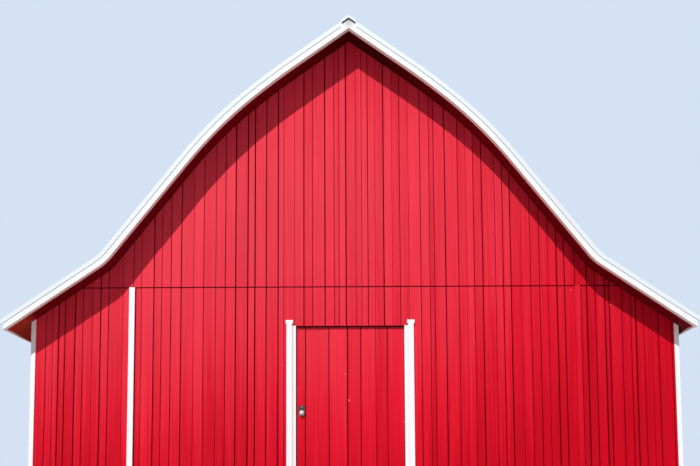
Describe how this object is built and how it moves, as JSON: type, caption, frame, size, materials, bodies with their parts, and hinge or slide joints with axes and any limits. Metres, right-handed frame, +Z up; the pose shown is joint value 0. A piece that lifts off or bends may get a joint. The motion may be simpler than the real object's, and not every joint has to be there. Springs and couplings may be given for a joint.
{
  "type": "barn",
  "caption": "Small red boarded barn with a curved bell-cast roof, white trim and a plank entrance door.",
  "frame": {"origin": "on the ground, in the middle of the roof's plan", "axes": "+X to the right across the front gable, +Y from the front gable to the back gable, +Z up"},
  "size_m": [7.715, 10.762, 5.4805],
  "materials": {
    "red_boards": "satin",
    "red_soffit": "matte",
    "white_trim": "satin",
    "roof_sheet": "satin",
    "bare_timber": "matte",
    "floor_planks": "matte",
    "dark_iron": "matte",
    "knob_steel": "satin"
  },
  "bodies": {
    "barn": {"floor": "floor_planks", "front_wall_left": "red_boards", "front_wall_right": "red_boards", "front_wall_over_door": "red_boards", "front_gable": "red_boards", "back_wall": "red_boards", "back_gable": "red_boards", "left_wall": "red_boards", "right_wall": "red_boards", "roof_deck_left": "bare_timber", "roof_deck_right": "bare_timber", "roof_covering": "roof_sheet", "ridge_cap": "roof_sheet", "ridge_board": "bare_timber", "upper_rafters": "bare_timber", "lower_rafters": "bare_timber", "flare_rafters": "bare_timber", "front_fascia_left": "white_trim", "front_fascia_right": "white_trim", "back_fascia_left": "white_trim", "back_fascia_right": "white_trim", "front_trim_left": "roof_sheet", "front_trim_right": "roof_sheet", "back_trim_left": "roof_sheet", "back_trim_right": "roof_sheet", "eave_fascia_left": "white_trim", "eave_fascia_right": "white_trim", "front_soffit": "red_soffit", "back_soffit": "red_soffit", "eave_soffit_left": "red_soffit", "eave_soffit_right": "red_soffit", "front_corner_boards": "white_trim", "back_corner_boards": "white_trim", "white_batten": "white_trim", "red_batten": "red_boards", "door_casings": "white_trim", "door_jamb_left": "white_trim", "door_jamb_right": "white_trim", "door_head": "bare_timber", "door_sill": "bare_timber", "hinge_frame_leaves": "dark_iron"},
    "door": {"door_leaf": "red_boards", "door_ledges": "red_boards", "hinge_door_leaves": "dark_iron", "lock_plates": "dark_iron"},
    "knob": {"door_knob": "knob_steel"}
  },
  "joints": [
    {"name": "door_hinge", "type": "hinge", "parent": "barn", "child": "door", "pos_m": [0.6125, -4.758, 0], "axis": [0, 0, -1], "range_deg": [0, 105]},
    {"name": "knob_turn", "type": "hinge", "parent": "door", "child": "knob", "pos_m": [-0.5515, -4.7945, 0.995], "axis": [0, 1, 0], "range_deg": [-60, 60], "stiffness_Nm_per_rad": 0.5}
  ]
}
